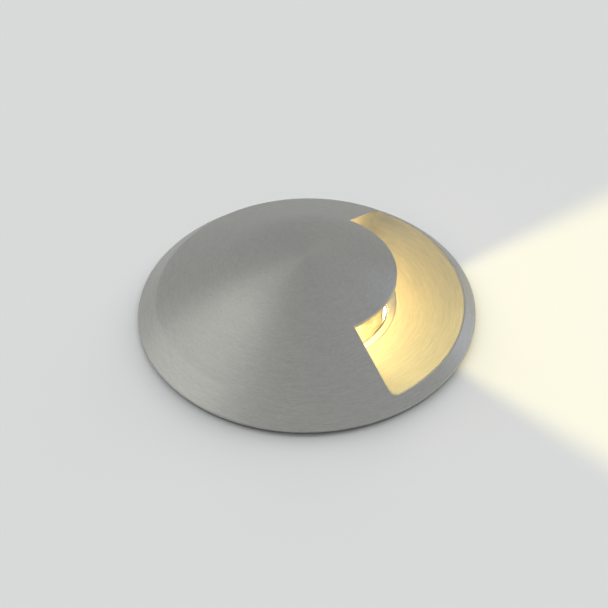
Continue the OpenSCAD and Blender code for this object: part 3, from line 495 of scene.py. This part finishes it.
def half_edge_and_skirt():
    """A profile carried round the axis: over the cover's edge, under its lip past the gasket's groove,
    into the recess, and down and up the skirt past its groove."""
    t = steps(0, 1, EASE_POINTS)
    over_r = COVER_R - EDGE_EASE * (1 - t) ** 2
    over_z = dome_height(np.array(COVER_R - EDGE_EASE)) * (1 - t) ** 2
    over_z = over_z + 2 * t * (1 - t) * EDGE_TOP + t ** 2 * (EDGE_TOP - EDGE_EASE)
    grip_low, grip_top = GRIP_Z - GRIP_GROOVE_H / 2, GRIP_Z + GRIP_GROOVE_H / 2
    gasket_out, gasket_in = GASKET_R + GASKET_W / 2, GASKET_R - GASKET_W / 2
    rest = np.array([
        [COVER_R, LIP_Z + EDGE_EASE / 2], [COVER_R - EDGE_EASE / 2, LIP_Z], [gasket_out, LIP_Z],
        [gasket_out, GASKET_TOP_Z], [gasket_in, GASKET_TOP_Z], [gasket_in, LIP_Z], [RECESS_R, LIP_Z],
        [RECESS_R, RECESS_Z], [SKIRT_R, RECESS_Z], [SKIRT_R, SKIRT_LOW_Z], [SKIRT_IN_R, SKIRT_LOW_Z],
        [SKIRT_IN_R, grip_low], [GRIP_GROOVE_R, grip_low], [GRIP_GROOVE_R, grip_top],
        [SKIRT_IN_R, grip_top], [SKIRT_IN_R, RECESS_Z]])
    r = np.concatenate([over_r, rest[:, 0]])[:, None]
    z = np.concatenate([over_z, rest[:, 1]])[:, None]
    return polar(r, steps(np.pi, 0, RIM_POINTS)[None, :], z)


def build_from_halves(name, halves, material):
    """One smooth mesh from grids on one side of y = 0, in millimetres, and their mirror images. Points that
    meet are joined, and faces are turned outwards."""
    points, faces, count = [], [], 0
    for grid in halves:
        rows, columns = grid.shape[:2]
        index = np.arange(rows * columns).reshape(rows, columns)
        quads = np.stack([index[:-1, :-1], index[1:, :-1], index[1:, 1:], index[:-1, 1:]], axis=-1)
        for side in (1, -1):
            points.append(grid.reshape(-1, 3) * [MM, side * MM, MM])
            faces.append(quads.reshape(-1, 4)[:, ::side] + count)
            count += rows * columns
    mesh = bpy.data.meshes.new(name)
    mesh.from_pydata(np.concatenate(points).tolist(), [], np.concatenate(faces).tolist())
    work = bmesh.new()
    work.from_mesh(mesh)
    bmesh.ops.remove_doubles(work, verts=work.verts, dist=PIECE_JOIN)
    bmesh.ops.recalc_face_normals(work, faces=work.faces)
    work.to_mesh(mesh)
    work.free()
    mesh.polygons.foreach_set("use_smooth", np.ones(len(mesh.polygons), dtype=bool))
    mesh.set_sharp_from_angle(angle=math.radians(PIECE_SHARP_DEG))
    mesh.materials.append(material)
    piece = bpy.data.objects.new(name, mesh)
    scene.collection.objects.link(piece)
    return piece


def blast_window(mesh):
    """Gives the faces of the window's floor, cove and walls their blasted finish, whose colour holds a
    painted warm glow: those that lie between the window's sides, outside the well, no lower than the floor
    and under the dome's skin."""
    centres = np.zeros((len(mesh.polygons), 3))
    mesh.polygons.foreach_get("center", centres.ravel())
    x, y, z = centres.T / MM
    radius, turn = np.hypot(x, y), np.abs(np.arctan2(y, x))
    under_skin = z < dome_height(radius) - 2 * EASE
    past_wall = 0.01
    window = under_skin & (radius > WELL_R) & (z > FLOOR_Z - FLOOR_EASE) & (turn < WALL + past_wall)
    # The window's faces take the blasted steel, whose lighter, warmer colour is a painted glow of the lamp
    mesh.materials.append(WINDOW_STEEL_PAINTED_GLOW)
    mesh.polygons.foreach_set("material_index", window.astype(np.int32))


def add_domed_cover():
    """The whole cover as one piece."""
    band, closed_turn = half_band()
    halves = [band, half_crown(closed_turn), half_hood_edge(), half_underside(), half_well_wall(),
              half_plate(), half_well_foot(), half_edge_and_skirt()]
    cover = build_from_halves("domed_cover", halves, FINISHES["cover_steel"])
    blast_window(cover.data)
    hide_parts("top_cover")
    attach(cover, "cover")
    return cover


domed_cover = add_domed_cover()

# Sizes of the spring clips in millimetres, as in the part's source
CLIP_COUNT, CLIP_DEG, CLIP_HALF_W, CLIP_T, CLIP_HOLE_R = 3, 30, 5, 0.8, 1.6
CLIP_FOOT_R, CLIP_BULGE, CLIP_TOP_Z, CLIP_FOOT_Z, CLIP_LOW_Z = 36.05, 5.053, -9.85, -20.85, -43.85
CLIP_BOW_DEG, CLIP_BOW_LEAN, CLIP_BOW_EASE = 150, 0.85, 1.25
# Points across half a clip, up its foot's side, out from its hole, and down its bow
CLIP_COLUMNS, CLIP_SIDE_POINTS, CLIP_HOLE_ROWS, CLIP_BOW_ROWS = 7, 11, 4, 49


def half_clip_foot():
    """Half of a clip's foot at angle 0: both faces round the screw's hole, the hole's wall, the sides and
    the top."""
    middle = (CLIP_TOP_Z + CLIP_FOOT_Z) / 2
    half_h = (CLIP_TOP_Z - CLIP_FOOT_Z) / 2
    across = steps(0, CLIP_HALF_W, CLIP_COLUMNS)
    up = steps(-half_h, half_h, CLIP_SIDE_POINTS)
    edge_y = np.concatenate([across, np.full(len(up) - 2, CLIP_HALF_W), across[::-1]])
    edge_z = np.concatenate([np.full(len(across), -half_h), up[1:-1], np.full(len(across), half_h)])
    hole = CLIP_HOLE_R / np.hypot(edge_y, edge_z)
    share = hole + (1 - hole) * steps(0, 1, CLIP_HOLE_ROWS)[:, None]
    faces = [np.stack([np.full_like(share, x), edge_y * share, middle + edge_z * share], axis=-1)
             for x in (CLIP_FOOT_R, CLIP_FOOT_R + CLIP_T)]
    hole_wall = np.stack([face[0] for face in faces])
    side = np.stack([face[-1, len(across) - 1:] for face in faces])
    return faces + [hole_wall, side]


def half_clip_bow():
    """Half of a clip's bow at angle 0, out to the sleeve's wall and back, and its lower end. It stands out
    from the foot by its bulge times a power of the sine of an angle that grows on the way down."""
    s = steps(0, 1, CLIP_BOW_ROWS)[:, None]
    lean = np.sin(np.radians(CLIP_BOW_DEG) * s ** CLIP_BOW_LEAN)
    inner_x = CLIP_FOOT_R + CLIP_BULGE * lean ** CLIP_BOW_EASE
    across = steps(0, CLIP_HALF_W, CLIP_COLUMNS)
    # Columns run out across the inner face and back across the outer one
    x = inner_x + np.repeat([0, CLIP_T], CLIP_COLUMNS)
    y = np.concatenate([across, across[::-1]])
    z = CLIP_FOOT_Z + (CLIP_LOW_Z - CLIP_FOOT_Z) * s
    bow = np.stack(np.broadcast_arrays(x, y, z), axis=-1)
    inner_end, outer_end = bow[-1, :CLIP_COLUMNS], bow[-1, CLIP_COLUMNS:][::-1]
    return [bow, np.stack([inner_end, outer_end])]


def add_spring_clip(number):
    """A spring clip, built and turned to its place round the axis."""
    clip = build_from_halves(f"bending_clip_{number}", half_clip_foot() + half_clip_bow(),
                             FINISHES["spring_steel"])
    turn = math.radians(CLIP_DEG + (number - 1) * 360 / CLIP_COUNT)
    clip.data.transform(Matrix.Rotation(turn, 4, "Z"))
    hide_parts(f"spring_clip_{number}")
    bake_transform(clip)


for clip_number in range(1, CLIP_COUNT + 1):
    add_spring_clip(clip_number)

# The ground's corners and the hole for the sleeve
GROUND_LOW = (-135 * MM, -140 * MM)
GROUND_HIGH = (140 * MM, 185 * MM)
GROUND_HOLE = 48 * MM
# Points round the ground's hole and out from it, and the power by which the outer ones spread
GROUND_ROUND_POINTS, GROUND_OUT_POINTS, GROUND_OUT_POWER = 361, 24, 1.6
TINY = 1e-9

# The lamp's fan of light on the ground: place and target in millimetres, width in degrees, strength, and the
# power of the distance that lets it reach out
FAN_FROM, FAN_TO, FAN_DEG, FAN_STRENGTH, FAN_POWER = (16, 0, 12), (100, -8, 8), 84, 1900, 3
# The glow that the lens throws up under the hood: place, target and size in millimetres, and watts
GLOW_FROM, GLOW_TO, GLOW_SIZE, GLOW_WATTS = (0, 0, 3.8), (0, 0, 20), 36, 0.085
# Warm lights under the hood: place and target in millimetres, strength, colour, and what they light. Then
# their size in millimetres and the power of the distance that lets them reach out
UNDER_HOOD = (((12, 2, 14.5), (42, 4, 5), 32, "#FFEA94", "cover"),
              ((9, -15, 14), (27, -42, 5), 54, "#FFEFA4", "cover"),
              ((12, 2, 14.5), (42, 4, 5), 6, "#FFF3D8", "lens_bezel"),
              ((6, -12, 14), (26, -34, 5), 5, "#FFF3D8", "lens_bezel"))
UNDER_HOOD_SIZE, UNDER_HOOD_POWER = 13, 2.2
# Wide even lights low round the back, for the shadow in front of the cover: degrees from +X, distance and
# height in millimetres, strength of all together, and their width in radians
BACK_LIGHTS_DEG = (38, 90, 142)
BACK_DISTANCE, BACK_HEIGHT, BACK_STRENGTH, BACK_WIDTH = 1300, 700, 6.4, 0.62
# Soft cards that only the metal shows: a bright one on the left for the fan over the dome, and cool ones on
# the right for the bevel and the flank. Each has its place in millimetres, watts, colour and size
CARDS = {"left_card": ((-800, 20, 560), 1.6, "#FFFEFA", 1050),
         "right_card": ((900, 420, 240), 0.45, "#CBD6FF", 500),
         "top_card": ((500, 80, 900), 0.1, "#C4CBFF", 500)}


def add_ground():
    """Flat ground from the hole round the sleeve out to a rectangle: a grid of the turn round the hole and
    the share of the way out to the rectangle's edge."""
    turn = steps(0, 2 * np.pi, GROUND_ROUND_POINTS)[:, None]
    share = steps(0, 1, GROUND_OUT_POINTS)[None, :] ** GROUND_OUT_POWER
    along_x, along_y = np.cos(turn), np.sin(turn)
    reach_x = np.where(along_x > 0, GROUND_HIGH[0], -GROUND_LOW[0]) / np.maximum(np.abs(along_x), TINY)
    reach_y = np.where(along_y > 0, GROUND_HIGH[1], -GROUND_LOW[1]) / np.maximum(np.abs(along_y), TINY)
    radius = GROUND_HOLE + (np.minimum(reach_x, reach_y) - GROUND_HOLE) * share
    points = polar(radius, turn, 0.0)
    rows, columns = points.shape[:2]
    index = np.arange(rows * columns).reshape(rows, columns)
    quads = np.stack([index[:-1, :-1], index[:-1, 1:], index[1:, 1:], index[1:, :-1]], axis=-1)
    mesh = bpy.data.meshes.new("pale_floor")
    mesh.from_pydata(points.reshape(-1, 3).tolist(), [], quads.reshape(-1, 4).tolist())
    mesh.update()
    ground = bpy.data.objects.new("pale_floor", mesh)
    scene.collection.objects.link(ground)
    material, tree = new_material("pale_matte_floor")
    finish_material(tree, Base_Color=linear("#BBBCBC"), Roughness=0.9, Specular_IOR_Level=0.1)
    mesh.materials.append(material)
    return ground


def add_world(colour, strength):
    """An even sky of that colour."""
    world = bpy.data.worlds.new("pale_studio")
    world.use_nodes = True
    world.node_tree.nodes.clear()
    sky = add_node(world.node_tree, "ShaderNodeBackground", Color=linear(colour), Strength=strength)
    add_node(world.node_tree, "ShaderNodeOutputWorld", Surface=sky)
    scene.world = world


def add_light(name, kind, place_mm, target_mm, power, colour, **settings):
    """A light at a place, turned to a target. Its power is in watts, and a sun's in watts a square metre."""
    data = bpy.data.lights.new(name, kind)
    data.energy, data.color = power, linear(colour)[:3]
    for setting, value in settings.items():
        setattr(data, setting, value)
    light = bpy.data.objects.new(name, data)
    scene.collection.objects.link(light)
    light.location = Vector(place_mm) * MM
    light.rotation_euler = (Vector(target_mm) - Vector(place_mm)).to_track_quat("-Z", "Y").to_euler()
    return light


def fade_less(light, strength, power):
    """Takes the light's brightness from its shader, which multiplies its usual fade by distance to that
    power, so that it reaches further."""
    light.data.use_nodes = True
    tree = light.data.node_tree
    tree.nodes.clear()
    steady = add_node(tree, "ShaderNodeLightFalloff", give="Constant", Strength=strength)
    distance = add_node(tree, "ShaderNodeLightPath", give="Ray Length")
    # The steady light has distance squared in it already
    growth = add_node(tree, "ShaderNodeMath", {"operation": "POWER"}, n0=distance, n1=power - 2)
    brightness = add_node(tree, "ShaderNodeMath", {"operation": "MULTIPLY"}, n0=steady, n1=growth)
    glow = add_node(tree, "ShaderNodeEmission", Strength=brightness)
    add_node(tree, "ShaderNodeOutputLight", Surface=glow)


def light_only(light, thing, blocked=True):
    """Lets the light fall on that object alone. Unblocked light is shaded by it alone too."""
    lit = bpy.data.collections.new(light.name + "_falls_on")
    lit.objects.link(thing)
    light.light_linking.receiver_collection = lit
    if not blocked:
        light.light_linking.blocker_collection = lit


def add_beam(ground, cover):
    """The lamp's beam: a fan on the ground that leaves the window, and the warm light under the hood."""
    fan = add_light("ground_fan", "SPOT", FAN_FROM, FAN_TO, 1.0, "#FFEE9A",
                    spot_size=math.radians(FAN_DEG), spot_blend=0.4, shadow_soft_size=0.5 * MM)
    fade_less(fan, FAN_STRENGTH, FAN_POWER)
    light_only(fan, ground, blocked=False)
    lens_glow = add_light("lens_glow", "AREA", GLOW_FROM, GLOW_TO, GLOW_WATTS, "#FFDA96",
                          size=GLOW_SIZE * MM)
    light_only(lens_glow, cover)
    lights = [fan, lens_glow]
    for place, target, strength, colour, lit in UNDER_HOOD:
        warm = add_light("under_hood", "AREA", place, target, 1.0, colour, size=UNDER_HOOD_SIZE * MM)
        fade_less(warm, strength, UNDER_HOOD_POWER)
        light_only(warm, cover if lit == "cover" else frame["nodes"][lit])
        lights.append(warm)
    for light in lights:
        light.visible_camera = False
        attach(light, "cover")


def add_back_lights():
    """The lights round the back, which the metal doesn't mirror."""
    for azimuth in BACK_LIGHTS_DEG:
        heading = math.radians(azimuth)
        place = (BACK_DISTANCE * math.cos(heading), BACK_DISTANCE * math.sin(heading), BACK_HEIGHT)
        back_light = add_light("back_light", "SUN", place, (0, 0, 0), BACK_STRENGTH / len(BACK_LIGHTS_DEG),
                               "#FFFFFF", angle=BACK_WIDTH)
        back_light.visible_glossy = False


def add_cards():
    """The cards that the metal mirrors."""
    for name, (place, power, colour, size) in CARDS.items():
        card = add_light(name, "AREA", place, (0, 0, 0), power, colour, size=size * MM)
        card.visible_diffuse = False


scene.view_settings.view_transform = "Standard"
pale_ground = add_ground()
add_world("#DADCDB", 0.6)
add_back_lights()
add_cards()
add_beam(pale_ground, domed_cover)
